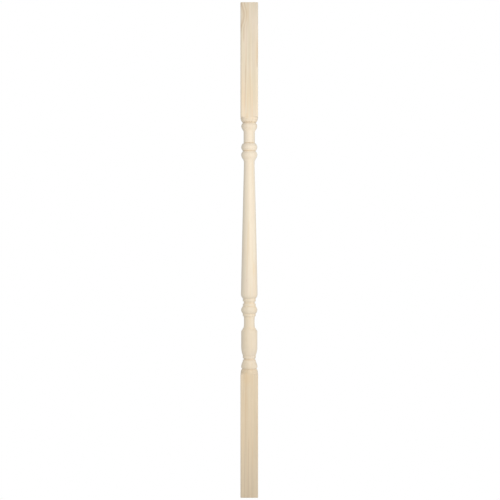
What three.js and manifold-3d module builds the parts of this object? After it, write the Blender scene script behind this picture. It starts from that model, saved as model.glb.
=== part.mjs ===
// Turned stair spindle: one square softwood blank, planed on its four faces and turned on a lathe
// between the square block at its foot and the square block at its head.
// Millimetres, +Z up. The origin is at the middle of the foot's sawn end.

import * as THREE from "three";
import { mergeVertices } from "three/addons/utils/BufferGeometryUtils.js";
import Module from "manifold-3d";

// The blank
const LENGTH = 900;
const BLANK = 32; // across the planed faces
const ARRIS = 2.2; // radius of the eased long edges
const FACE = BLANK / 2;
const CLEAR = FACE * Math.SQRT2 + ARRIS; // just outside the corners
const FOOT_BLOCK = 223.3; // height at which the foot's corner cut starts, just outside the corners

// Shoulders and quirks, where a block meets the turning
const CORNER_CUT = 2; // height of the hollow cut through a block's corners
const SHOULDER = 15.8; // radius a hair inside the planed faces
const FOOT_ROUND = 6.1; // from the shoulder to the lip of the quirk
const HEAD_ROUND = 7.05;
const FOOT_LIP = 14.3; // radius at the edge of the foot's quirk
const FOOT_QUIRK = 13.1; // radius at the floor of the foot's quirk
const HEAD_LIP = 12.9;
const HEAD_QUIRK = 12.1; // also between the twin beads
const QUIRK_WIDTH = 1.3;

// Base bead and urn
const BEAD = 14.9; // crest radius of the lower beads
const HALF_BEAD = 4.2;
const BASE_OGEE = 12;
const GROOVE_FLOOR = 10.1; // radius at the floor of the square-cut grooves
const BASE_GROOVE = 3.1;
const FILLET = 11.9; // radius of the square-edged bands
const FILLET_HEIGHT = 5.25;
const URN = 14.8; // radius of the straight body
const URN_BOWL = 15.35;
const URN_BODY = 28.7;
const URN_STEP = 0.35; // the line cut round the top of the body
const URN_SHOULDER = 3.9;
const URN_FILLET = 2.1;
const LOWER_NECK = 9.7;
const LOWER_NECK_FLARE = 0.7; // extra radius where the neck leaves the urn, and half of it at the ring bead
const LOWER_NECK_HALF = 10.8;
const RING_FILLET = 4.65; // the bands on either side of the ring bead
const RING_HALF_BEAD = 6.75;

// Long taper
const GROOVE = 4.25; // between the two fillets under the shaft
const SHAFT_FOOT = 15.2;
const SHAFT_ROUND = 7.8;
const SHAFT_HEAD = 9.85;
const SHAFT = 233.6;
const ENTASIS = 1.1; // above 1, the taper swells a little on its way up
const SHAFT_NECK = 8.2; // the short straight stretch at the head of the taper

// Beads and neck under the head block
const SHAFT_OGEE = 13.1;
const TWIN_HALF_BEAD = 6.5;
const UPPER_BEAD = 14.7;
const UPPER_NECK = 10.35;
const UPPER_NECK_HEIGHT = 20.3;
const UPPER_OGEE = 11.5;
const UPPER_HALF_BEAD = 5.85;

// Fineness of the faceted solid
const SIDES = 36;
const ARRIS_STEPS = 2; // for each eighth of a turn
const ARC_STEPS = 5;
const OGEE_STEPS = 7;
const TAPER_STEPS = 6;

// A profile grows from the foot to the head. Each cut goes to a new radius while it rises by a height.
class Profile {
  constructor(radius, height) {
    this.points = [new THREE.Vector2(radius, height)];
  }

  get end() {
    return this.points[this.points.length - 1];
  }

  straight(radius, rise = 0) {
    this.points.push(new THREE.Vector2(radius, this.end.y + rise));
    return this;
  }

  // A curve given by the share of the way in radius at each share of the way in height.
  curve(radius, rise, steps, radiusShare) {
    const from = this.end.clone();
    for (let step = 1; step <= steps; step++) {
      const t = step / steps;
      const r = from.x + (radius - from.x) * radiusShare(t);
      this.points.push(new THREE.Vector2(r, from.y + rise * t));
    }
    return this;
  }

  // A convex arc, upright at its wide end, such as half of a bead.
  bow(radius, rise) {
    const growing = radius > this.end.x;
    return this.curve(radius, rise, ARC_STEPS, growing ? (t) => 1 - (1 - t) ** 2 : (t) => t ** 2);
  }

  // A concave arc, upright at its narrow end, such as half of a neck.
  hollow(radius, rise) {
    const growing = radius > this.end.x;
    return this.curve(radius, rise, ARC_STEPS, growing ? (t) => t ** 2 : (t) => 1 - (1 - t) ** 2);
  }

  // A double curve, convex at its wide end and hollow at its narrow end.
  ogee(radius, rise) {
    return this.curve(radius, rise, OGEE_STEPS, (t) => (1 - Math.cos(t * Math.PI)) / 2);
  }

  // A long taper with a slight swelling.
  taper(radius, rise) {
    return this.curve(radius, rise, TAPER_STEPS, (t) => t ** ENTASIS);
  }

  // A square-edged band or groove.
  band(radius, height) {
    return this.straight(radius).straight(radius, height);
  }
}

// From the foot block's corners to the base bead.
function turnFootShoulder(cut) {
  return cut
    .hollow(SHOULDER, CORNER_CUT)
    .bow(FOOT_LIP, FOOT_ROUND)
    .band(FOOT_QUIRK, QUIRK_WIDTH);
}

// The base bead, the urn with its neck, and the ring bead between two fillets.
function turnUrn(cut) {
  return cut
    .bow(BEAD, HALF_BEAD)
    .ogee(FILLET, BASE_OGEE)
    .band(GROOVE_FLOOR, BASE_GROOVE)
    .band(FILLET, FILLET_HEIGHT)
    .bow(URN, URN_BOWL)
    .straight(URN, URN_BODY)
    .straight(URN - URN_STEP)
    .bow(FILLET, URN_SHOULDER)
    .straight(FILLET, URN_FILLET)
    .straight(LOWER_NECK + LOWER_NECK_FLARE)
    .hollow(LOWER_NECK, LOWER_NECK_HALF)
    .hollow(LOWER_NECK + LOWER_NECK_FLARE / 2, LOWER_NECK_HALF)
    .band(FILLET, RING_FILLET)
    .bow(BEAD, RING_HALF_BEAD)
    .bow(FILLET, RING_HALF_BEAD)
    .straight(FILLET, RING_FILLET);
}

// The groove and fillet under the shaft, and the long taper.
function turnShaft(cut) {
  return cut
    .band(GROOVE_FLOOR, GROOVE)
    .band(FILLET, FILLET_HEIGHT)
    .bow(SHAFT_FOOT, SHAFT_ROUND)
    .taper(SHAFT_HEAD, SHAFT)
    .straight(SHAFT_HEAD, SHAFT_NECK);
}

// The twin beads, the upper neck and the bead under the head block.
function turnHeadBeads(cut) {
  return cut
    .ogee(BEAD, SHAFT_OGEE)
    .bow(HEAD_QUIRK, TWIN_HALF_BEAD)
    .straight(HEAD_QUIRK, QUIRK_WIDTH)
    .bow(UPPER_BEAD, TWIN_HALF_BEAD)
    .bow(HEAD_QUIRK, TWIN_HALF_BEAD)
    .band(UPPER_NECK, UPPER_NECK_HEIGHT)
    .ogee(UPPER_BEAD, UPPER_OGEE)
    .bow(HEAD_QUIRK, UPPER_HALF_BEAD);
}

// From the last bead to the head block's corners.
function turnHeadShoulder(cut) {
  return cut
    .straight(HEAD_QUIRK, QUIRK_WIDTH)
    .straight(HEAD_LIP)
    .bow(SHOULDER, HEAD_ROUND)
    .hollow(CLEAR, CORNER_CUT);
}

// What the lathe leaves: the turning, and room outside the corners along both blocks.
function turningGeometry() {
  const cut = new Profile(0, -ARRIS).straight(CLEAR).straight(CLEAR, FOOT_BLOCK + ARRIS);
  turnFootShoulder(cut);
  turnUrn(cut);
  turnShaft(cut);
  turnHeadBeads(cut);
  turnHeadShoulder(cut);
  cut.straight(CLEAR, LENGTH + ARRIS - cut.end.y).straight(0);
  return new THREE.LatheGeometry(cut.points, SIDES).rotateX(Math.PI / 2);
}

// The planed blank, with its long edges eased.
function blankGeometry() {
  const section = new THREE.Shape();
  for (let corner = 0; corner < 4; corner++) {
    const turn = (corner * Math.PI) / 2;
    const middle = new THREE.Vector2(FACE - ARRIS, FACE - ARRIS).rotateAround(new THREE.Vector2(), turn);
    section.absarc(middle.x, middle.y, ARRIS, turn, turn + Math.PI / 2);
  }
  const options = { depth: LENGTH, bevelEnabled: false, curveSegments: ARRIS_STEPS };
  return new THREE.ExtrudeGeometry(section, options);
}

const wasm = await Module();
wasm.setup();
const WELD = 1e-4;

function solidOf(geometry) {
  geometry.deleteAttribute("normal");
  geometry.deleteAttribute("uv");
  const merged = mergeVertices(geometry, WELD);
  const vertProperties = merged.attributes.position.array;
  const triVerts = new Uint32Array(merged.index.array);
  return new wasm.Manifold(new wasm.Mesh({ numProp: 3, vertProperties, triVerts }));
}

function geometryOf(solid) {
  const { vertProperties, triVerts } = solid.getMesh();
  const geometry = new THREE.BufferGeometry();
  geometry.setAttribute("position", new THREE.BufferAttribute(vertProperties, 3));
  geometry.setIndex(new THREE.BufferAttribute(triVerts, 1));
  const faceted = geometry.toNonIndexed();
  faceted.computeVertexNormals();
  return faceted;
}

const barePine = new THREE.MeshStandardMaterial({ color: 0xe9d7b8, roughness: 0.62, metalness: 0 });
const turnedBlank = solidOf(blankGeometry()).intersect(solidOf(turningGeometry()));
const spindle = new THREE.Mesh(geometryOf(turnedBlank), barePine);
spindle.name = "spindle";

const stairSpindle = new THREE.Group();
stairSpindle.add(spindle);

export default stairSpindle;
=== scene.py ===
"""A turned stair spindle in bare pine, with a plain studio stage round it.

The spindle is one length of softwood. Its profile is spun into the turning, and the two ends of the turning
are then brought in to the square section of the planed blank. Lengths are in metres and +Z runs from the
foot to the head.
"""

import math

import bmesh
import bpy
from mathutils import Matrix, Vector


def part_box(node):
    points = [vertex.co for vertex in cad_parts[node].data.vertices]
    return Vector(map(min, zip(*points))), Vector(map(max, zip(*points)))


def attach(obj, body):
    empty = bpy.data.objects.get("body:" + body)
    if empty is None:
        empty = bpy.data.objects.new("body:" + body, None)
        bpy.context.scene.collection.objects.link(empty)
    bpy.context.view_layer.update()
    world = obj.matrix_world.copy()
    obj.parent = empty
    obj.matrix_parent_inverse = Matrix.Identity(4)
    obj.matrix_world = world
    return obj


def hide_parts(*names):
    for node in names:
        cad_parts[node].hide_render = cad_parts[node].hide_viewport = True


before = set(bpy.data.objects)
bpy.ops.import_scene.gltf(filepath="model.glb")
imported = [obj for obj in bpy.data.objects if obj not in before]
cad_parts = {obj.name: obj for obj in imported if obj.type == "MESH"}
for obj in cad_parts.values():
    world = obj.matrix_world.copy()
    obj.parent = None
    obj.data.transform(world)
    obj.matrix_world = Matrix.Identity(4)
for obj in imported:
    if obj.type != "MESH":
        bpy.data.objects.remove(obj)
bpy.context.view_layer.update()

bl_info = {
    "name": "Turned stair spindle",
    "version": (1, 0, 0),
    "blender": (4, 5, 0),
    "location": "View3D > Sidebar > Spindle",
    "description": "A turned pine stair spindle with planed square blocks, and a plain studio stage",
    "category": "Object",
}

NODE = "spindle"
LOWEST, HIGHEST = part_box(NODE)
MM = 0.001
WELD = 1e-7


# Settings

def length(label, millimetres, description):
    """A length whose default is written in millimetres."""
    return bpy.props.FloatProperty(
        name=label,
        description=description,
        default=millimetres * MM,
        min=0.0,
        precision=5,
        subtype="DISTANCE",
        unit="LENGTH",
    )


def colour(label, default, description):
    """A colour, as scene-linear red, green and blue."""
    return bpy.props.FloatVectorProperty(
        name=label,
        description=description,
        default=default,
        size=3,
        min=0.0,
        max=1.0,
        subtype="COLOR",
    )


def amount(label, default, description, unit="NONE"):
    """A number that is never negative."""
    return bpy.props.FloatProperty(name=label, description=description, default=default, min=0.0, unit=unit)


def group_of(kind, label, description):
    """A group of settings within another."""
    return bpy.props.PointerProperty(type=kind, name=label, description=description)


class BlankSizes(bpy.types.PropertyGroup):
    """The planed blank, before it goes on the lathe."""

    overall: length("Length", (HIGHEST.z - LOWEST.z) / MM, "From the foot's sawn end to the head's")
    width: length("Width", (HIGHEST.x - LOWEST.x) / MM, "Across the planed faces")
    arris: length("Arris", 2.2, "Radius of the eased long edges")
    end_ease: length("End ease", 0.35, "Width of the ease round each sawn end")
    sanded: length("Sanded length", 2.5, "Stretch of a block by its corner cut, where the sanding runs out")
    foot_block: length("Foot block", 223.3, "Height where the corner cut starts, just outside the corners")


class ShoulderSizes(bpy.types.PropertyGroup):
    """The rounded shoulders and quirks, where a block meets the turning."""

    corner_cut: length("Corner cut", 2.0, "Height of the hollow cut through a block's corners")
    shoulder: length("Shoulder radius", 15.8, "A hair inside the planed faces")
    foot_round: length("Foot rounding", 6.1, "Height from the foot's shoulder to the lip of its quirk")
    head_round: length("Head rounding", 7.05, "Height from the lip of the head's quirk to its shoulder")
    foot_lip: length("Foot lip radius", 14.3, "At the edge of the foot's quirk")
    foot_quirk: length("Foot quirk radius", 13.1, "At the floor of the foot's quirk")
    head_lip: length("Head lip radius", 12.9, "At the edge of the head's quirk")
    head_quirk: length("Head quirk radius", 12.1, "At the floor of the quirks under the head block")
    quirk: length("Quirk width", 1.3, "Height of the narrow grooves beside the beads")
    quirk_line: length("Quirk line", 1.4, "Depth of the fine lines in the head's quirks and under its neck")


class UrnSizes(bpy.types.PropertyGroup):
    """The base bead, the urn, its neck and the ring bead."""

    bead: length("Bead radius", 14.9, "At the crest of the lower beads")
    half_bead: length("Base half bead", 4.2, "Height from the foot's quirk to the base bead's crest")
    base_ogee: length("Base ogee", 12.0, "Height of the double curve above the base bead")
    groove_floor: length("Groove radius", 10.1, "At the floor of the square-cut grooves")
    base_groove: length("Base groove", 3.1, "Height of the groove under the urn")
    fillet: length("Fillet radius", 11.9, "Of the square-edged bands")
    fillet_height: length("Fillet height", 5.25, "Of the bands under the urn and under the shaft")
    body: length("Urn radius", 14.8, "Of the urn's straight body")
    bowl: length("Urn bowl", 15.35, "Height of the curve from the fillet to the body")
    body_height: length("Urn body", 28.7, "Height of the straight body")
    step: length("Urn step", 0.35, "Depth of the line cut round the top of the body")
    shoulder: length("Urn shoulder", 3.9, "Height of the curve above the body")
    collar: length("Urn collar", 2.1, "Height of the band above the shoulder")
    neck: length("Lower neck radius", 9.7, "At the middle of the lower neck")
    neck_flare: length("Lower neck flare", 0.7, "Extra radius at the urn, and half of it at the ring bead")
    neck_half: length("Lower neck half", 10.8, "Half of the lower neck's height")
    ring_fillet: length("Ring fillet", 4.65, "Height of the bands on either side of the ring bead")
    ring_half: length("Ring half bead", 6.75, "Half of the ring bead's height")
    nick: length("Nick width", 1.0, "Height of the fine lines where curves meet the bands")
    nick_depth: length("Nick depth", 0.7, "Depth of those lines")


class ShaftSizes(bpy.types.PropertyGroup):
    """The long taper."""

    groove: length("Shaft groove", 4.25, "Height of the groove between the fillets under the shaft")
    foot: length("Shaft foot radius", 15.2, "At the widest place of the taper")
    rounding: length("Shaft rounding", 7.8, "Height of the rounded lower end")
    head: length("Shaft head radius", 9.85, "At the narrow end of the taper")
    taper: length("Taper", 233.6, "Height of the taper")
    entasis: amount("Entasis", 1.1, "Above 1, the taper swells a little on its way up")
    neck: length("Shaft neck", 8.2, "Height of the straight stretch at the head of the taper")


class HeadSizes(bpy.types.PropertyGroup):
    """The twin beads, the upper neck and the bead under the head block."""

    shaft_ogee: length("Shaft ogee", 13.1, "Height of the double curve from the shaft to the twin beads")
    twin_half: length("Twin half bead", 6.5, "Half of a twin bead's height")
    bead: length("Upper bead radius", 14.7, "At the crest of the upper beads")
    neck: length("Upper neck radius", 10.35, "Of the upper neck")
    neck_height: length("Upper neck", 20.3, "Height of the upper neck")
    ogee: length("Upper ogee", 11.5, "Height of the double curve above the upper neck")
    half_bead: length("Upper half bead", 5.85, "Height from the top bead's crest to the head's quirk")


class PineLook(bpy.types.PropertyGroup):
    """The growth and colour of the wood."""

    # On the corner cuts these paler colours are partly painted light, lifting the shade there
    fresh: colour("Fresh sapwood", (0.848, 0.757, 0.59), "Pale sapwood that the lathe has bared")
    fresh_heartwood: colour("Fresh heartwood", (0.857, 0.726, 0.54), "Heartwood that the lathe has bared")
    sapwood: colour("Planed sapwood", (0.806, 0.704, 0.529), "Sapwood of the planed faces, a little yellowed")
    blush: colour("Blush", (0.85, 0.732, 0.582), "Pinker patches in the sapwood")
    heartwood: colour("Heartwood", (0.815, 0.668, 0.467), "Warmer wood towards the heart of the trunk")
    latewood: colour("Latewood", (0.62, 0.45, 0.29), "Dark line at the end of a year's growth")
    resin: colour("Resin", (0.42, 0.24, 0.11), "Fine short resin streaks")
    amber: colour("Amber", (0.8, 0.6, 0.36), "Soft stains where resin lies under the surface")
    # Painted shade: the foot grows greyer and darker towards its lower end
    painted_foot_shade: colour("Painted Foot Shade", (0.5, 0.44, 0.37), "Painted shade, greyer and darker towards the foot's lower end")
    ring: length("Ring width", 2.5, "Usual width of a year's growth")
    pith_x: length("Pith to the right", 12.0, "From the spindle's axis to the tree's pith, at the foot")
    pith_y: length("Pith behind", 45.0, "From the spindle's axis to the tree's pith")
    lean: bpy.props.FloatProperty(
        name="Lean",
        description="Angle between the spindle's axis and the tree's pith",
        default=math.radians(1.07),
        subtype="ANGLE",
        unit="ROTATION",
    )


class StageLook(bpy.types.PropertyGroup):
    """The studio round the spindle."""

    floor: colour("Floor", (0.82, 0.82, 0.81), "Pale floor")
    floor_size: length("Floor size", 12000, "Side of the floor")
    backdrop: colour("Backdrop", (1.0, 1.0, 1.0), "What shows behind the spindle")
    floor_light: amount("Floor light", 0.08, "How much light the floor adds to what it throws back")
    ambient: amount("Ambient", 0.59, "Strength of the light from all round")
    fill_colour: colour("Fill colour", (0.89, 0.935, 1.0), "Of the light from all round")
    key_colour: colour("Key colour", (1.0, 0.925, 0.85), "Of the lights at the front right and behind")
    side_colour: colour("Side colour", (0.85, 0.91, 1.0), "Of the light on the right")
    key_power: amount("Key power", 2.4, "Watts of the soft light at the front right", unit="POWER")
    side_power: amount("Side power", 2.3, "Watts of the weak light on the right", unit="POWER")
    back_power: amount("Back power", 6.0, "Watts of the soft light behind the spindle", unit="POWER")
    camera_distance: length("Camera distance", 1800, "From the lens to the spindle's front face")
    picture_height: length("Picture height", 907.7, "What the picture spans at the spindle's front face")
    picture_offset: length("Picture offset", 1.3, "How far the picture's middle lies right of the axis")


class SpindleSettings(bpy.types.PropertyGroup):
    """All that the spindle and its stage are made from."""

    blank: group_of(BlankSizes, "Blank", "The planed blank")
    shoulders: group_of(ShoulderSizes, "Shoulders", "Shoulders and quirks")
    urn: group_of(UrnSizes, "Urn", "Base bead, urn and ring bead")
    shaft: group_of(ShaftSizes, "Shaft", "The long taper")
    head: group_of(HeadSizes, "Head", "Beads and neck under the head block")
    pine: group_of(PineLook, "Pine", "Growth and colour of the wood")
    stage: group_of(StageLook, "Stage", "The studio")


# Profile of the turning

ARC_STEPS = 10
OGEE_STEPS = 16
TAPER_STEPS = 28
BLOCK_STEPS = 18
SANDED_STEPS = 6
END_RINGS = 6


class Profile:
    """The line that the lathe leaves, from the foot to the head. Each cut goes to a radius while it rises."""

    def __init__(self, radius, height):
        self.points = [(radius, height)]

    @property
    def height(self):
        return self.points[-1][1]

    def curve(self, radius, rise, steps, share):
        start, base = self.points[-1]
        for step in range(1, steps + 1):
            part = step / steps
            self.points.append((start + (radius - start) * share(part), base + rise * part))
        return self

    def straight(self, radius, rise=0.0, steps=1):
        return self.curve(radius, rise, steps, lambda part: part)

    def bow(self, radius, rise):
        """A convex arc, upright at its wide end, such as half of a bead."""
        growing = radius > self.points[-1][0]
        return self.curve(radius, rise, ARC_STEPS, rising_arc if growing else falling_arc)

    def hollow(self, radius, rise):
        """A concave arc, upright at its narrow end, such as half of a neck."""
        growing = radius > self.points[-1][0]
        return self.curve(radius, rise, ARC_STEPS, falling_arc if growing else rising_arc)

    def ogee(self, radius, rise):
        """A double curve, convex at its wide end and hollow at its narrow end."""
        return self.curve(radius, rise, OGEE_STEPS, lambda part: (1.0 - math.cos(math.pi * part)) / 2.0)

    def quirk(self, radius, width, depth):
        """A narrow floor with a fine line cut along it."""
        return self.straight(radius - depth, width / 2.0).straight(radius, width / 2.0)

    def band(self, radius, height):
        """A square-edged band or groove."""
        return self.straight(radius).straight(radius, height)


def rising_arc(part):
    """Quick at first, and level at the end."""
    return 1.0 - (1.0 - part) ** 2


def full_arc(part):
    """Quicker at first than the rising arc, and level for longer."""
    return 1.0 - (1.0 - part) ** 3


def falling_arc(part):
    """Level at first, and quick at the end."""
    return part ** 2


def clear_radius(blank):
    """Just outside the corners of the blank."""
    return blank.width / math.sqrt(2.0) + blank.arris


def turn_foot_shoulder(cut, shoulders):
    """From the foot block's corners to the base bead."""
    cut.hollow(shoulders.shoulder, shoulders.corner_cut)
    cut.bow(shoulders.foot_lip, shoulders.foot_round)
    cut.band(shoulders.foot_quirk, shoulders.quirk)


def turn_urn(cut, urn):
    """The base bead, the urn with its neck, and the ring bead between two fillets."""
    cut.curve(urn.bead, urn.half_bead, ARC_STEPS, full_arc)
    cut.ogee(urn.fillet, urn.base_ogee)
    cut.band(urn.groove_floor, urn.base_groove)
    cut.band(urn.fillet, urn.fillet_height - urn.nick).quirk(urn.fillet, urn.nick, urn.nick_depth)
    cut.bow(urn.body, urn.bowl)
    cut.straight(urn.body, urn.body_height)
    cut.straight(urn.body - urn.step)
    cut.bow(urn.fillet, urn.shoulder)
    cut.straight(urn.fillet, urn.collar)
    cut.straight(urn.neck + urn.neck_flare)
    cut.hollow(urn.neck, urn.neck_half)
    cut.hollow(urn.neck + urn.neck_flare / 2.0, urn.neck_half)
    cut.band(urn.fillet, urn.ring_fillet - urn.nick).quirk(urn.fillet, urn.nick, urn.nick_depth)
    cut.bow(urn.bead, urn.ring_half)
    cut.bow(urn.fillet, urn.ring_half)
    cut.quirk(urn.fillet, urn.nick, urn.nick_depth).straight(urn.fillet, urn.ring_fillet - urn.nick)


def turn_shaft(cut, shaft, urn):
    """The groove and fillet under the shaft, and the long taper."""
    cut.band(urn.groove_floor, shaft.groove)
    cut.band(urn.fillet, urn.fillet_height - urn.nick).quirk(urn.fillet, urn.nick, urn.nick_depth)
    cut.bow(shaft.foot, shaft.rounding)
    cut.curve(shaft.head, shaft.taper, TAPER_STEPS, lambda part: part ** shaft.entasis)
    cut.straight(shaft.head, shaft.neck)


def turn_head_beads(cut, head, urn, shoulders):
    """The twin beads, the upper neck and the bead under the head block."""
    cut.ogee(urn.bead, head.shaft_ogee)
    cut.bow(shoulders.head_quirk, head.twin_half)
    cut.quirk(shoulders.head_quirk, shoulders.quirk, shoulders.quirk_line)
    cut.bow(head.bead, head.twin_half)
    cut.bow(shoulders.head_quirk, head.twin_half)
    cut.straight(head.neck).quirk(head.neck, shoulders.quirk, shoulders.quirk_line)
    cut.straight(head.neck, head.neck_height - shoulders.quirk)
    cut.ogee(head.bead, head.ogee)
    cut.bow(shoulders.head_quirk, head.half_bead)


def turn_head_shoulder(cut, shoulders, clear):
    """From the last bead to the head block's corners."""
    cut.quirk(shoulders.head_quirk, shoulders.quirk, shoulders.quirk_line)
    cut.straight(shoulders.head_lip)
    cut.bow(shoulders.shoulder, shoulders.head_round)
    cut.hollow(clear, shoulders.corner_cut)


def spindle_profile(settings):
    """The whole line from axis to axis, with room outside the corners along both blocks.

    Also gives the heights at which the foot's corner cut starts and the head's corner cut ends.
    """
    blank = settings.blank
    clear = clear_radius(blank)
    ease = blank.end_ease * clear / (blank.width / 2.0)
    cut = Profile(0.0, 0.0)
    cut.straight(clear - ease, 0.0, END_RINGS)
    cut.straight(clear, blank.end_ease)
    cut.straight(clear, blank.foot_block - blank.end_ease - blank.sanded, BLOCK_STEPS)
    cut.straight(clear, blank.sanded, SANDED_STEPS)
    foot_corner = cut.height
    turn_foot_shoulder(cut, settings.shoulders)
    turn_urn(cut, settings.urn)
    turn_shaft(cut, settings.shaft, settings.urn)
    turn_head_beads(cut, settings.head, settings.urn, settings.shoulders)
    turn_head_shoulder(cut, settings.shoulders, clear)
    head_corner = cut.height
    cut.straight(clear, blank.sanded, SANDED_STEPS)
    cut.straight(clear, blank.overall - blank.end_ease - cut.height, BLOCK_STEPS)
    cut.straight(clear - ease, blank.end_ease)
    cut.straight(0.0, 0.0, END_RINGS)
    return cut.points, foot_corner, head_corner


# Mesh of the spindle

PLANED, TURNED, SAWN, SHOULDER = range(4)
BLANK_SIDES = 4
FACE_COLUMNS = 22
ARRIS_COLUMNS = 4
CORNER_EASE = 0.15 * MM
CORNER_EASE_STEPS = 3
ROUND_EASE = 0.5
SEAM_WELD = 10 * WELD
TELLING_CORNERS = 3  # two faces never share as many as these
SANDING = 0.8
SHARP_TURN = math.radians(25.0)
SHARP_EDGE = math.radians(38.0)
END_FACING = 0.9
SLIGHT = 1e-4


def lay_profile(mesh, points):
    """Joins the profile's points with edges, in the plane of +X and +Z."""
    verts = [mesh.verts.new((radius, 0.0, height)) for radius, height in points]
    for first, second in zip(verts, verts[1:]):
        mesh.edges.new((first, second))
    return verts


def profile_turn(vert):
    """How sharply the profile turns at a vertex."""
    before, after = (edge.other_vert(vert).co - vert.co for edge in vert.link_edges)
    return math.pi - before.angle(after)


def soften_profile(mesh, verts, block_radius):
    """Rounds the sharp corners of the turning a little, as sanding leaves them."""
    inner = [vert for vert in verts[1:-1] if vert.co.x < block_radius - WELD]
    ends = (LOWEST.z, HIGHEST.z)
    inner = [vert for vert in inner if all(abs(vert.co.z - end) > CORNER_EASE for end in ends)]
    corners = [vert for vert in inner if profile_turn(vert) > SHARP_TURN]
    bmesh.ops.bevel(
        mesh,
        geom=corners,
        offset=CORNER_EASE,
        offset_type="OFFSET",
        segments=CORNER_EASE_STEPS,
        profile=ROUND_EASE,
        affect="VERTICES",
        clamp_overlap=True,
        material=-1,
    )


def spin_profile(mesh, blank):
    """Spins the profile once round, with columns of faces that fit the flats and arrises of the blank."""
    half = blank.width / 2.0
    flat = 2.0 * math.atan2(half - blank.arris, half)
    arris = math.pi / 2.0 - flat
    bmesh.ops.rotate(
        mesh, verts=mesh.verts, cent=(0, 0, 0), matrix=Matrix.Rotation(-flat / 2.0, 3, "Z")
    )
    geometry = mesh.verts[:] + mesh.edges[:]
    for angle, steps in ((flat, FACE_COLUMNS), (arris, ARRIS_COLUMNS)) * BLANK_SIDES:
        spun = bmesh.ops.spin(
            mesh, geom=geometry, cent=(0, 0, 0), axis=(0, 0, 1), angle=angle, steps=steps
        )
        geometry = spun["geom_last"]
    bmesh.ops.remove_doubles(mesh, verts=mesh.verts, dist=SEAM_WELD)
    bmesh.ops.recalc_face_normals(mesh, faces=mesh.faces)
    put_in_order(mesh)


def put_in_order(mesh):
    """Sorts the edges and faces by their vertices, because spinning orders them differently each run."""
    mesh.verts.index_update()
    count = len(mesh.verts)

    def place_in_order(element):
        number = 0
        for index in sorted(vert.index for vert in element.verts)[:TELLING_CORNERS]:
            number = number * count + index
        return number

    mesh.edges.sort(key=place_in_order)
    mesh.faces.sort(key=place_in_order)


def mark_surfaces(mesh, shoulders, foot_corner, head_corner):
    """Tells the planed, turned and sawn faces and the shoulders apart, while the blocks are still round."""
    foot_round = foot_corner + shoulders.corner_cut
    head_round = head_corner - shoulders.corner_cut
    for face in mesh.faces:
        height = face.calc_center_median().z
        if foot_round < height < foot_round + shoulders.foot_round:
            face.material_index = SHOULDER
        elif head_round - shoulders.head_round < height < head_round:
            face.material_index = SHOULDER
        # The corner cuts take the turned finish: freshly cut wood, and partly painted light that lifts their
        # shade
        elif foot_corner < height < head_corner:
            face.material_index = TURNED
        elif abs(face.normal.z) > END_FACING:
            face.material_index = SAWN
        else:
            face.material_index = PLANED


def blank_reach(angle, blank):
    """How far the planed blank reaches from its axis in one direction."""
    half = blank.width / 2.0
    turn = abs((angle + math.pi / 4.0) % (math.pi / 2.0) - math.pi / 4.0)
    middle = half - blank.arris
    if half * math.tan(turn) <= middle:
        return half / math.cos(turn)
    along = middle * (math.cos(turn) + math.sin(turn))
    across = middle * (math.cos(turn) - math.sin(turn))
    return along + math.sqrt(max(blank.arris ** 2 - across ** 2, 0.0))


def sanded_edge(planed, turned, blank):
    """The smaller of two radii, with the edge between them rounded, most of all at the arrises."""
    ease = max(SANDING * (planed - blank.width / 2.0), WELD)
    share = min(max(0.5 + 0.5 * (planed - turned) / ease, 0.0), 1.0)
    return planed + (turned - planed) * share - ease * share * (1.0 - share)


def square_block(verts, settings, sawn_end, corner):
    """Brings one end of the turning in to the square section of the blank.

    The cut through the corners starts where it meets the planed surface, so it is longer on the arrises than
    on the faces. corner is the height at which it would start just outside the arrises.
    """
    shoulders = settings.shoulders
    clear = clear_radius(settings.blank)
    depth = clear - shoulders.shoulder
    rise = math.copysign(shoulders.corner_cut, corner - sawn_end)
    for vert in verts:
        x, y, height = vert.co
        radius = math.hypot(x, y)
        part = (height - corner) / rise
        if part > 1.0 - SLIGHT or radius < WELD:
            continue
        reach = blank_reach(math.atan2(y, x), settings.blank)
        start = 1.0 - math.sqrt(1.0 - (clear - reach) / depth)
        if part > -SLIGHT:
            lathe_radius = radius
            part = start + (1.0 - start) * part
            height = corner + rise * part
        else:
            lathe_radius = clear
            face_end = corner + rise * start
            height = sawn_end + (height - sawn_end) * (face_end - sawn_end) / (corner - sawn_end)
            part = (height - corner) / rise
        turned = clear - depth * rising_arc(part)
        share = sanded_edge(reach, turned, settings.blank) / lathe_radius
        vert.co = (x * share, y * share, height)


def shade_smoothly(mesh):
    """Smooth faces, with a hard line only at the sharp edges."""
    for face in mesh.faces:
        face.smooth = True
    for edge in mesh.edges:
        edge.smooth = edge.calc_face_angle() < SHARP_EDGE


def spindle_mesh(settings):
    """The whole spindle as one closed mesh."""
    points, foot_corner, head_corner = spindle_profile(settings)
    mesh = bmesh.new()
    verts = lay_profile(mesh, points)
    soften_profile(mesh, verts, clear_radius(settings.blank))
    spin_profile(mesh, settings.blank)
    mark_surfaces(mesh, settings.shoulders, foot_corner, head_corner)
    square_block(mesh.verts, settings, LOWEST.z, foot_corner)
    square_block(mesh.verts, settings, HIGHEST.z, head_corner)
    mesh.normal_update()
    shade_smoothly(mesh)
    return mesh


def new_object(name, mesh, materials):
    """A mesh object at the origin."""
    data = bpy.data.meshes.new(name)
    mesh.to_mesh(data)
    mesh.free()
    for material in materials:
        data.materials.append(material)
    piece = bpy.data.objects.new(name, data)
    bpy.context.scene.collection.objects.link(piece)
    return piece


# Shading

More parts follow.
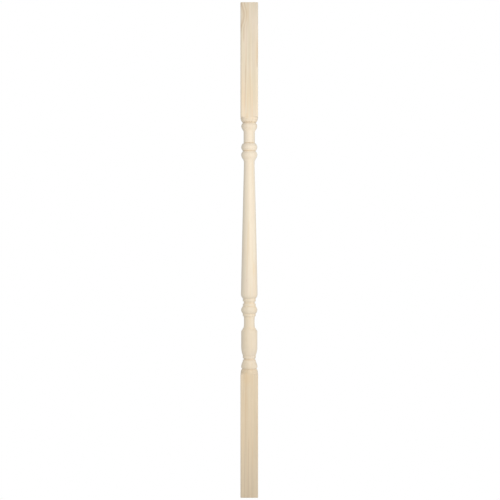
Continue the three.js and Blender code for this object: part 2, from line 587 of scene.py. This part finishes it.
class Wiring:
    """Adds nodes to one node tree and joins them."""

    def __init__(self, tree):
        self.tree = tree

    def node(self, kind, **choices):
        node = self.tree.nodes.new(kind)
        for choice, value in choices.items():
            setattr(node, choice, value)
        return node

    def feed(self, socket, source):
        """Joins a socket to another one, or gives it a plain value."""
        if isinstance(source, bpy.types.NodeSocket):
            self.tree.links.new(source, socket)
        else:
            socket.default_value = source

    def math(self, operation, first, second=0.0):
        node = self.node("ShaderNodeMath", operation=operation)
        self.feed(node.inputs[0], first)
        self.feed(node.inputs[1], second)
        return node.outputs[0]

    def vector(self, operation, first, second=(0.0, 0.0, 0.0)):
        node = self.node("ShaderNodeVectorMath", operation=operation)
        self.feed(node.inputs[0], first)
        self.feed(node.inputs[1], second)
        return node.outputs["Value" if operation == "LENGTH" else "Vector"]

    def scale(self, colour_source, share):
        """A colour made lighter or darker."""
        node = self.node("ShaderNodeVectorMath", operation="SCALE")
        self.feed(node.inputs[0], colour_source)
        self.feed(node.inputs["Scale"], share)
        return node.outputs["Vector"]

    def apart(self, vector):
        node = self.node("ShaderNodeSeparateXYZ")
        self.feed(node.inputs[0], vector)
        return node.outputs

    def spread(self, value, low, high, start=0.0, end=1.0):
        """Carries a value smoothly from one span to another, and holds it at the ends."""
        node = self.node("ShaderNodeMapRange", interpolation_type="SMOOTHSTEP", clamp=True)
        self.feed(node.inputs["Value"], value)
        for name, number in (("From Min", low), ("From Max", high), ("To Min", start), ("To Max", end)):
            self.feed(node.inputs[name], number)
        return node.outputs["Result"]

    def noise(self, place, pitch, detail=2.0):
        """Even noise from 0 to 1, with grains about as long as the pitch on each axis, in millimetres."""
        stretched = self.vector("MULTIPLY", place, tuple(1.0 / span for span in pitch))
        node = self.node("ShaderNodeTexNoise", noise_dimensions="3D")
        self.feed(node.inputs["Vector"], stretched)
        self.feed(node.inputs["Scale"], 1.0)
        self.feed(node.inputs["Detail"], detail)
        return node.outputs[0]

    def swing(self, noise, reach):
        """Noise turned into a push of up to half the reach either way."""
        return self.math("MULTIPLY", self.math("SUBTRACT", noise, 0.5), reach)

    def mix(self, share, first, second):
        node = self.node("ShaderNodeMix", data_type="RGBA")
        self.feed(node.inputs["Factor"], share)
        colours = [socket for socket in node.inputs if socket.type == "RGBA"]
        self.feed(colours[0], first)
        self.feed(colours[1], second)
        return next(socket for socket in node.outputs if socket.type == "RGBA")

    def ramp(self, value, stops):
        node = self.node("ShaderNodeValToRGB")
        elements = node.color_ramp.elements
        while len(elements) < len(stops):
            elements.new(0.5)
        for element, (position, level) in zip(elements, stops):
            element.position = position
            element.color = (level, level, level, 1.0)
        self.feed(node.inputs["Fac"], value)
        return node.outputs["Color"]


def opaque(colour_value):
    """A colour with full alpha, as node sockets want it."""
    return (*colour_value, 1.0)


def new_group(name, inputs, outputs):
    """An empty shader node group, its wiring, and its input and output sockets, which are listed by kind."""
    tree = bpy.data.node_groups.new(name, "ShaderNodeTree")
    for in_out, kinds in (("INPUT", inputs), ("OUTPUT", outputs)):
        for kind, labels in kinds.items():
            for label in labels:
                tree.interface.new_socket(label, in_out=in_out, socket_type=kind)
    board = Wiring(tree)
    return tree, board, board.node("NodeGroupInput").outputs, board.node("NodeGroupOutput").inputs


GROWTH_INPUTS = {
    "NodeSocketVector": ("Place", "Pith"),
    "NodeSocketFloat": ("Lean", "Ring Width", "Ring Strength", "Fibre Strength", "Warm Streaks"),
    "NodeSocketColor": ("Sapwood", "Blush", "Heartwood", "Latewood", "Resin", "Amber", "Painted Foot Shade"),
}
GROWTH_OUTPUTS = {"NodeSocketColor": ("Color",), "NodeSocketFloat": ("Latewood", "Fibre")}

# The knot's middle and reach in the tree, and how far it pushes the rings aside, in millimetres
KNOT = ((-21.0, -17.0, 876.0), (16.0, 14.0, 13.0))
KNOT_PUSH = 4.6

# Stains in the wood, and painted shade at the foot: colour, strength, middle and reach
STAINS = (
    ("Amber", 0.55, (-4.5, -16.0, 217.0), (5.5, 8.0, 11.0)),
    ("Amber", 0.5, (-4.5, -16.0, 694.0), (2.0, 6.0, 4.0)),
    ("Amber", 0.4, (8.5, -11.2, 416.0), (1.8, 4.0, 11.0)),
    ("Amber", 0.15, (5.8, -8.0, 598.0), (1.5, 4.0, 16.0)),
    ("Amber", 0.3, (-6.0, -16.0, 170.0), (3.0, 8.0, 45.0)),
    ("Amber", 0.18, (-3.5, -16.0, 60.0), (2.5, 8.0, 45.0)),
    ("Amber", 0.14, (2.0, -16.0, 722.0), (22.0, 22.0, 36.0)),
    ("Amber", 0.3, (-4.5, -16.0, 878.0), (2.2, 6.0, 14.0)),
    ("Amber", 0.5, (15.0, -16.0, 807.0), (1.3, 5.0, 12.0)),
    # painted shade, darker and greyer towards the foot's lower end
    ("Painted Foot Shade", 0.2, (0.0, 0.0, -20.0), (60.0, 60.0, 75.0)),
    ("Blush", 0.7, (-6.0, -16.0, 838.0), (3.0, 8.0, 30.0)),
    ("Blush", 0.7, (9.0, -16.0, 868.0), (7.0, 10.0, 20.0)),
    ("Blush", 0.4, (-2.0, -10.0, 640.0), (14.0, 14.0, 50.0)),
    ("Blush", 0.8, (-4.0, -9.0, 596.0), (3.0, 4.0, 20.0)),
    ("Blush", 0.8, (-5.0, -13.0, 385.0), (5.0, 5.0, 14.0)),
    ("Blush", 0.8, (6.0, -12.0, 258.0), (5.0, 5.0, 9.0)),
)
BLOT_EDGE = 2.0  # reaches from the middle of a blot to where it is gone

# Levels at which sapwood and heartwood are pure, and how fast the level grows outwards and upwards
SAPWOOD_EDGE = 38.0
HEARTWOOD_EDGE = 22.0
HEART_SPREAD = 0.3
HEART_TAPER = 0.04

# Size of the marks in the wood on each axis, in millimetres
FIBRES = (0.5, 0.5, 34.0)
STREAKS = (4.2, 4.2, 170.0)
WARM_STREAKS = (3.2, 3.2, 130.0)
RESIN_STREAKS = (0.8, 0.8, 16.0)
BLUSH_PATCHES = (9.0, 9.0, 70.0)
HEART_PATCHES = (30.0, 30.0, 220.0)
SWAYS = (50.0, 50.0, 240.0)
WANDERINGS = (9.0, 9.0, 90.0)

# How far the noise swings the shade, the heartwood's level, the millimetres from the pith, and the years
FIBRE_SWING = 1.0
STREAK_SWING = 2.0
HEART_SWING = 6.0
SWAY_SWING = 1.2
WANDER_SWING = 0.5
YEAR_SWING = 2.4

# Levels of the noise between which a mark fades in, and how strong it gets
WARM_LEVELS = (0.48, 0.7)
RESIN_LEVELS = (0.66, 0.76)
RESIN_STRENGTH = 0.22
BLUSH_LEVELS = (0.4, 0.65)
BLUSH_STRENGTH = 0.6

# How dark a year's growth is, from spring to the end of summer
YEAR_STOPS = ((0.0, 0.12), (0.1, 0.0), (0.5, 0.06), (0.78, 0.4), (0.93, 1.0), (1.0, 0.75))
PLAIN_RINGS = 0.18  # share of a ring that shows away from the knot
WEAK_SUMMER = 0.3  # the faintest ring, as a share of the strongest
YEAR_CHANGES = 0.35  # how often the rings' width changes, for each year

# Years of hard summers: distance from the pith, heights between which the line shows, reach to either side
DARK_YEARS = (
    (75.1, 840.0, 920.0, 2.1),
    (71.8, 822.0, 920.0, 1.2),
    (69.4, 700.0, 868.0, 0.8),
    (62.2, 775.0, 838.0, 0.7),
    (66.3, 150.0, 240.0, 0.2),
    (64.6, -20.0, 240.0, 0.24),
    (62.8, -20.0, 115.0, 0.2),
)
DARK_FADE = 15.0  # stretch over which a line fades at its ends


def growth_group():
    """Yearly rings, fibres and resin streaks of pine, wherever a cut goes through the tree."""
    tree, board, given, result = new_group("Pine growth", GROWTH_INPUTS, GROWTH_OUTPUTS)
    place = given["Place"]
    knot = nearness(board, place, *KNOT)
    away = distance_from_pith(board, given, knot)
    rings = yearly_rings(board, away, given["Ring Width"])
    rings = board.math("MULTIPLY", rings, board.spread(knot, 0.0, 1.0, PLAIN_RINGS, 1.0))
    late = board.math("MAXIMUM", rings, dark_years(board, away, board.apart(place)[2]))
    fibre = board.noise(place, FIBRES, detail=4.0)
    streaks = board.noise(place, STREAKS, detail=3.0)
    resin = board.spread(board.noise(place, RESIN_STREAKS), *RESIN_LEVELS)
    warmth = board.spread(board.noise(place, WARM_STREAKS), *WARM_LEVELS, 0.0, given["Warm Streaks"])

    wood = wood_colour(board, given, away)
    ringed = board.mix(board.math("MULTIPLY", late, given["Ring Strength"]), wood, given["Latewood"])
    stained = board.mix(warmth, ringed, given["Amber"])
    # Lays the stains, and the painted shade at the lower end of the foot
    for label, strength, middle, reach in STAINS:
        stain = board.math("MULTIPLY", nearness(board, place, middle, reach), strength)
        stained = board.mix(stain, stained, given[label])
    grainy = board.math("ADD", board.swing(fibre, FIBRE_SWING), board.swing(streaks, STREAK_SWING))
    shade = board.math("ADD", board.math("MULTIPLY", grainy, given["Fibre Strength"]), 1.0)
    resinous = board.math("MULTIPLY", resin, RESIN_STRENGTH)
    coloured = board.mix(resinous, board.scale(stained, shade), given["Resin"])

    board.feed(result["Color"], coloured)
    board.feed(result["Latewood"], late)
    board.feed(result["Fibre"], fibre)
    return tree


def nearness(board, place, middle, reach):
    """1 at the middle of a blot in the wood, 0 away from it."""
    offset = board.vector("DIVIDE", board.vector("SUBTRACT", place, middle), reach)
    return board.spread(board.vector("LENGTH", offset), 0.0, BLOT_EDGE, 1.0, 0.0)


def distance_from_pith(board, given, knot):
    """Millimetres from the pith, swaying with the tree's growth and pushed aside by the knot."""
    place = given["Place"]
    x, y, z = board.apart(place)
    pith_x, pith_y, _ = board.apart(given["Pith"])
    leaning = board.math("ADD", pith_x, board.math("MULTIPLY", z, given["Lean"]))
    across = board.math("SUBTRACT", x, leaning)
    behind = board.math("SUBTRACT", y, pith_y)
    squares = board.math("ADD", board.math("POWER", across, 2.0), board.math("POWER", behind, 2.0))
    sway = board.swing(board.noise(place, SWAYS), SWAY_SWING)
    wander = board.swing(board.noise(place, WANDERINGS), WANDER_SWING)
    push = board.math("MULTIPLY", knot, KNOT_PUSH)
    away = board.math("ADD", board.math("SQRT", squares), push)
    return board.math("ADD", away, board.math("ADD", sway, wander))


def yearly_rings(board, away, ring_width):
    """How dark each year's growth is, with uneven widths and stronger and weaker summers."""
    years = board.math("DIVIDE", away, ring_width)
    uneven = board.node("ShaderNodeTexNoise", noise_dimensions="1D")
    board.feed(uneven.inputs["W"], years)
    board.feed(uneven.inputs["Scale"], YEAR_CHANGES)
    years = board.math("ADD", years, board.swing(uneven.outputs[0], YEAR_SWING))
    season = board.ramp(board.math("FRACT", years), YEAR_STOPS)
    weather = board.node("ShaderNodeTexWhiteNoise", noise_dimensions="1D")
    board.feed(weather.inputs["W"], board.math("FLOOR", years))
    summer = board.spread(weather.outputs["Value"], 0.0, 1.0, WEAK_SUMMER, 1.0)
    return board.math("MULTIPLY", season, summer)


def dark_years(board, away, height):
    """Fine dark lines that run along part of the length."""
    darkest = 0.0
    for distance, low, high, reach in DARK_YEARS:
        apart = board.math("ABSOLUTE", board.math("SUBTRACT", away, distance))
        line = board.spread(apart, 0.0, reach, 1.0, 0.0)
        rising = board.spread(height, low, low + DARK_FADE)
        falling = board.spread(height, high - DARK_FADE, high, 1.0, 0.0)
        shown = board.math("MULTIPLY", line, board.math("MULTIPLY", rising, falling))
        darkest = board.math("MAXIMUM", shown, darkest)
    return darkest


def wood_colour(board, given, away):
    """Sapwood with a pink blush in places, warmer towards the heart of the trunk, which tapers upwards."""
    place = given["Place"]
    blush = board.spread(board.noise(place, BLUSH_PATCHES), *BLUSH_LEVELS, 0.0, BLUSH_STRENGTH)
    sapwood = board.mix(blush, given["Sapwood"], given["Blush"])
    outer = board.math("MULTIPLY", away, HEART_SPREAD)
    higher = board.math("MULTIPLY", board.apart(place)[2], HEART_TAPER)
    uneven = board.swing(board.noise(place, HEART_PATCHES), HEART_SWING)
    outwards = board.math("ADD", outer, board.math("ADD", higher, uneven))
    return board.mix(board.spread(outwards, SAPWOOD_EDGE, HEARTWOOD_EDGE), sapwood, given["Heartwood"])


LATHE_INPUTS = {
    "NodeSocketVector": ("Place", "Normal"),
    "NodeSocketColor": ("Wood", "End Grain"),
    "NodeSocketFloat": ("Fibre",),
}
LATHE_OUTPUTS = {"NodeSocketColor": ("Color",), "NodeSocketFloat": ("Roughness", "Height")}
END_GRAIN_SLOPE = 0.15  # where end grain starts to show
END_GRAIN_SHADE = 0.06  # share of the darker colour where it shows most
TOOL_LINES = (60.0, 60.0, 0.3)  # size on each axis, in millimetres
TOOL_SHARE = 0.8  # height of the lines beside that of the fibres
TURNED_ROUGHNESS = (0.55, 0.75)  # along the grain, and on end grain


def lathe_group():
    """Fine lines round the turning, and darker, rougher wood where the cut shows end grain."""
    tree, board, given, result = new_group("Lathe cut", LATHE_INPUTS, LATHE_OUTPUTS)
    slope = board.math("ABSOLUTE", board.apart(given["Normal"])[2])
    end_grain = board.spread(slope, END_GRAIN_SLOPE, 1.0)
    darkened = board.math("MULTIPLY", end_grain, END_GRAIN_SHADE)
    lines = board.noise(given["Place"], TOOL_LINES, detail=3.0)
    height = board.math("ADD", board.math("MULTIPLY", lines, TOOL_SHARE), given["Fibre"])
    board.feed(result["Color"], board.mix(darkened, given["Wood"], given["End Grain"]))
    board.feed(result["Roughness"], board.spread(end_grain, 0.0, 1.0, *TURNED_ROUGHNESS))
    board.feed(result["Height"], height)
    return tree


# How strongly the grain shows in each finish
PLANED_GRAIN = {"Ring Strength": 0.6, "Fibre Strength": 0.12, "Warm Streaks": 0.42}
TURNED_GRAIN = {"Ring Strength": 0.35, "Fibre Strength": 0.06, "Warm Streaks": 0.3}
SHOULDER_GRAIN = {"Ring Strength": 0.5, "Fibre Strength": 0.09, "Warm Streaks": 0.4}
SAWN_GRAIN = {"Ring Strength": 0.85, "Fibre Strength": 0.2, "Warm Streaks": 0.0}

# Gloss of the wood, and the roughness and the depth of the marks of each finish
SPECULAR_LEVEL = 0.5
SHEEN = 0.25
SHEEN_ROUGHNESS = 0.4
PLANED_ROUGHNESS = (0.62, 0.5)  # of pale wood, and of latewood
PLANED_DEPTH = 0.03 * MM
TURNED_DEPTH = 0.04 * MM
SAWN_ROUGHNESS = 0.85
SAWN_DEPTH = 0.12 * MM
SAWN_SHADE = 0.3  # share of latewood colour over the ends

# Marks of the planer's knives and of the saw, with sizes in millimetres
KNIFE_PITCH = 1.9
RIPPLE_PATCHES = (20.0, 20.0, 40.0)
RIPPLE_SHARE = 0.25  # height of the ripple beside that of the fibres
SAW_PITCH = 1.4
SAW_DIAMETER = 220.0
SAW_PATCHES = (4.0, 4.0, 4.0)
TORN_GRAIN = (0.4, 0.4, 0.4)


class PineMaterial:
    """One finish of the spindle's wood. All finishes share the same tree, so the rings run through."""

    def __init__(self, name, growth, pine, sapwood, heartwood, grain):
        self.material = bpy.data.materials.new(name)
        self.material.use_nodes = True
        self.material.node_tree.nodes.clear()
        self.board = Wiring(self.material.node_tree)
        self.where = self.board.node("ShaderNodeTexCoord").outputs
        to_millimetres = self.board.node("ShaderNodeMapping")
        self.board.feed(to_millimetres.inputs["Vector"], self.where["Object"])
        self.board.feed(to_millimetres.inputs["Scale"], (1.0 / MM,) * 3)
        self.place = to_millimetres.outputs[0]
        self.wood = self.board.node("ShaderNodeGroup", node_tree=growth)
        values = {
            "Place": self.place,
            "Pith": (pine.pith_x / MM, pine.pith_y / MM, 0.0),
            "Lean": math.tan(pine.lean),
            "Ring Width": pine.ring / MM,
            **grain,
            "Sapwood": opaque(sapwood),
            "Blush": opaque(pine.blush),
            "Heartwood": opaque(heartwood),
            "Latewood": opaque(pine.latewood),
            "Resin": opaque(pine.resin),
            "Amber": opaque(pine.amber),
            # painted shade at the lower end of the foot
            "Painted Foot Shade": opaque(pine.painted_foot_shade),
        }
        for label, value in values.items():
            self.board.feed(self.wood.inputs[label], value)

    def finish(self, base_colour, roughness, height, depth):
        """Joins the colour, roughness and surface height to the shader."""
        board = self.board
        shader = board.node("ShaderNodeBsdfPrincipled")
        board.feed(shader.inputs["Base Color"], base_colour)
        board.feed(shader.inputs["Roughness"], roughness)
        board.feed(shader.inputs["Specular IOR Level"], SPECULAR_LEVEL)
        board.feed(shader.inputs["Sheen Weight"], SHEEN)
        board.feed(shader.inputs["Sheen Roughness"], SHEEN_ROUGHNESS)
        bump = board.node("ShaderNodeBump")
        board.feed(bump.inputs["Height"], height)
        board.feed(bump.inputs["Distance"], depth)
        board.feed(shader.inputs["Normal"], bump.outputs["Normal"])
        output = board.node("ShaderNodeOutputMaterial")
        board.feed(output.inputs["Surface"], shader.outputs["BSDF"])
        return self.material


def planed_pine(growth, pine):
    """The blocks' faces: planed, with the faint ripple of the knives across the grain."""
    finish = PineMaterial("Planed pine", growth, pine, pine.sapwood, pine.heartwood, PLANED_GRAIN)
    board = finish.board
    z = board.apart(finish.place)[2]
    ripple = board.math("SINE", board.math("MULTIPLY", z, 2.0 * math.pi / KNIFE_PITCH))
    ripple = board.math("MULTIPLY", ripple, board.noise(finish.place, RIPPLE_PATCHES))
    height = board.math("ADD", board.math("MULTIPLY", ripple, RIPPLE_SHARE), finish.wood.outputs["Fibre"])
    roughness = board.spread(finish.wood.outputs["Latewood"], 0.0, 1.0, *PLANED_ROUGHNESS)
    return finish.finish(finish.wood.outputs["Color"], roughness, height, PLANED_DEPTH)


def turned_pine(growth, lathe, pine):
    """The turning between the quirks, and the corner cuts: fresh and pale. On the corner cuts the paler
    colour is partly freshly cut wood and partly painted light that lifts their shade.
    """
    finish = PineMaterial("Turned pine", growth, pine, pine.fresh, pine.fresh_heartwood, TURNED_GRAIN)
    return lathe_finish(finish, lathe, pine)


def shoulder_pine(growth, lathe, pine):
    """The turned shoulders of the blocks, in the blocks' own colour."""
    finish = PineMaterial("Shoulder pine", growth, pine, pine.sapwood, pine.heartwood, SHOULDER_GRAIN)
    return lathe_finish(finish, lathe, pine)


def lathe_finish(finish, lathe, pine):
    """Puts what the lathe leaves over the wood."""
    board = finish.board
    cut = board.node("ShaderNodeGroup", node_tree=lathe)
    board.feed(cut.inputs["Place"], finish.place)
    board.feed(cut.inputs["Normal"], finish.where["Normal"])
    board.feed(cut.inputs["Wood"], finish.wood.outputs["Color"])
    board.feed(cut.inputs["Fibre"], finish.wood.outputs["Fibre"])
    board.feed(cut.inputs["End Grain"], opaque(pine.latewood))
    return finish.finish(cut.outputs["Color"], cut.outputs["Roughness"], cut.outputs["Height"], TURNED_DEPTH)


def sawn_pine(growth, pine):
    """The two ends: end grain, darker and rougher, with the marks of the saw."""
    finish = PineMaterial("Sawn pine", growth, pine, pine.sapwood, pine.heartwood, SAWN_GRAIN)
    board = finish.board
    x, y, _ = board.apart(finish.place)
    bowed = board.math("ADD", y, board.math("MULTIPLY", board.math("POWER", x, 2.0), 1.0 / SAW_DIAMETER))
    marks = board.math("SINE", board.math("MULTIPLY", bowed, 2.0 * math.pi / SAW_PITCH))
    marks = board.math("MULTIPLY", marks, board.noise(finish.place, SAW_PATCHES))
    coarse = board.noise(finish.place, TORN_GRAIN, detail=3.0)
    height = board.math("ADD", marks, coarse)
    coloured = board.mix(SAWN_SHADE, finish.wood.outputs["Color"], opaque(pine.latewood))
    return finish.finish(coloured, SAWN_ROUGHNESS, height, SAWN_DEPTH)


# Stage

FLOOR_ROUGHNESS = 0.9
LIGHT_AIM = (0.0, 0.0, 0.5)
KEY_PLACE = (0.15, -0.66, 0.62)
KEY_SIZE = (0.3, 0.3)
SIDE_PLACE = (1.3, -0.2, 0.5)
SIDE_SIZE = (0.8, 0.8)
BACK_PLACE = (0.0, 1.4, 0.6)
BACK_SIZE = (0.3, 0.3)


def floor_material(stage):
    """Pale and matt. It is shown as bright as the backdrop, so that the two run together."""
    material = bpy.data.materials.new("Studio floor")
    material.use_nodes = True
    board = Wiring(material.node_tree)
    lit = material.node_tree.nodes["Principled BSDF"]
    board.feed(lit.inputs["Base Color"], opaque(stage.floor))
    board.feed(lit.inputs["Roughness"], FLOOR_ROUGHNESS)
    board.feed(lit.inputs["Emission Color"], opaque(stage.backdrop))
    board.feed(lit.inputs["Emission Strength"], stage.floor_light)
    shown = board.node("ShaderNodeEmission")
    board.feed(shown.inputs["Color"], opaque(stage.backdrop))
    output = material.node_tree.nodes["Material Output"]
    board.feed(output.inputs["Surface"], lit_or_shown(board, lit, shown))
    return material


def lit_or_shown(board, lit, shown):
    """One shader for the light that falls on the spindle, and another for what the lens sees."""
    either = board.node("ShaderNodeMixShader")
    board.feed(either.inputs[0], board.node("ShaderNodeLightPath").outputs["Is Camera Ray"])
    board.feed(either.inputs[1], lit.outputs[0])
    board.feed(either.inputs[2], shown.outputs[0])
    return either.outputs[0]


def lay_floor(stage):
    """A flat floor under the foot."""
    mesh = bmesh.new()
    bmesh.ops.create_grid(mesh, x_segments=1, y_segments=1, size=stage.floor_size / 2.0)
    floor = new_object("Studio floor", mesh, [floor_material(stage)])


def light_world(stage):
    """A plain bright backdrop, and even light from all round."""
    world = bpy.data.worlds.new("Studio")
    world.use_nodes = True
    world.node_tree.nodes.clear()
    board = Wiring(world.node_tree)
    shown = board.node("ShaderNodeBackground")
    board.feed(shown.inputs["Color"], opaque(stage.backdrop))
    lit = board.node("ShaderNodeBackground")
    board.feed(lit.inputs["Color"], opaque(stage.fill_colour))
    board.feed(lit.inputs["Strength"], stage.ambient)
    output = board.node("ShaderNodeOutputWorld")
    board.feed(output.inputs["Surface"], lit_or_shown(board, lit, shown))
    bpy.context.scene.world = world


def hang_light(name, place, size, power, tint):
    """A soft rectangular light that faces the spindle."""
    lamp = bpy.data.lights.new(name, "AREA")
    lamp.shape = "RECTANGLE"
    lamp.size, lamp.size_y = size
    lamp.energy = power
    lamp.color = tint
    light = bpy.data.objects.new(name, lamp)
    light.location = place
    light.rotation_euler = (Vector(LIGHT_AIM) - Vector(place)).to_track_quat("-Z", "Y").to_euler()
    light.visible_camera = False
    bpy.context.scene.collection.objects.link(light)


def set_camera(stage):
    """Square on to the front face, at half height, framed as the photograph is."""
    lens = bpy.data.cameras.new("Camera")
    lens.lens = lens.sensor_width * stage.camera_distance / stage.picture_height
    camera = bpy.data.objects.new("Camera", lens)
    middle = (LOWEST.z + HIGHEST.z) / 2.0
    camera.location = (stage.picture_offset, LOWEST.y - stage.camera_distance, middle)
    camera.rotation_euler = (math.pi / 2.0, 0.0, 0.0)
    bpy.context.scene.collection.objects.link(camera)
    bpy.context.scene.camera = camera


# Operators and panel

class SPINDLE_OT_turn(bpy.types.Operator):
    """Turn the spindle from its blank and give it its wood"""

    bl_idname = "spindle.turn"
    bl_label = "Turn spindle"

    def execute(self, context):
        settings = context.scene.spindle
        growth = growth_group()
        lathe = lathe_group()
        finishes = {
            PLANED: planed_pine(growth, settings.pine),
            TURNED: turned_pine(growth, lathe, settings.pine),
            SAWN: sawn_pine(growth, settings.pine),
            SHOULDER: shoulder_pine(growth, lathe, settings.pine),
        }
        materials = [finishes[kind] for kind in sorted(finishes)]
        piece = new_object("turned_spindle", spindle_mesh(settings), materials)
        even = piece.modifiers.new("Even shading", "WEIGHTED_NORMAL")
        even.keep_sharp = True
        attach(piece, "root")
        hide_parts(NODE)
        return {"FINISHED"}


class SPINDLE_OT_stage(bpy.types.Operator):
    """Set up the floor, the lights and the camera"""

    bl_idname = "spindle.stage"
    bl_label = "Set stage"

    def execute(self, context):
        stage = context.scene.spindle.stage
        lay_floor(stage)
        light_world(stage)
        hang_light("Key", KEY_PLACE, KEY_SIZE, stage.key_power, stage.key_colour)
        hang_light("Side", SIDE_PLACE, SIDE_SIZE, stage.side_power, stage.side_colour)
        hang_light("Back", BACK_PLACE, BACK_SIZE, stage.back_power, stage.key_colour)
        set_camera(stage)
        context.scene.view_settings.view_transform = "Standard"
        return {"FINISHED"}


class SPINDLE_PT_sidebar(bpy.types.Panel):
    """Settings and steps of the spindle."""

    bl_idname = "SPINDLE_PT_sidebar"
    bl_label = "Turned spindle"
    bl_space_type = "VIEW_3D"
    bl_region_type = "UI"
    bl_category = "Spindle"

    def draw(self, context):
        settings = context.scene.spindle
        for group in ("blank", "shoulders", "urn", "shaft", "head", "pine", "stage"):
            box = self.layout.box()
            box.label(text=group.capitalize())
            part = getattr(settings, group)
            for name in part.__annotations__:
                box.prop(part, name)
        self.layout.operator(SPINDLE_OT_turn.bl_idname)
        self.layout.operator(SPINDLE_OT_stage.bl_idname)


CLASSES = (
    BlankSizes,
    ShoulderSizes,
    UrnSizes,
    ShaftSizes,
    HeadSizes,
    PineLook,
    StageLook,
    SpindleSettings,
    SPINDLE_OT_turn,
    SPINDLE_OT_stage,
    SPINDLE_PT_sidebar,
)


def register():
    for cls in CLASSES:
        bpy.utils.register_class(cls)
    bpy.types.Scene.spindle = group_of(SpindleSettings, "Spindle", "Turned stair spindle")


def unregister():
    del bpy.types.Scene.spindle
    for cls in reversed(CLASSES):
        bpy.utils.unregister_class(cls)


def main():
    register()
    bpy.ops.spindle.turn()
    bpy.ops.spindle.stage()


if __name__ == "__main__":
    main()
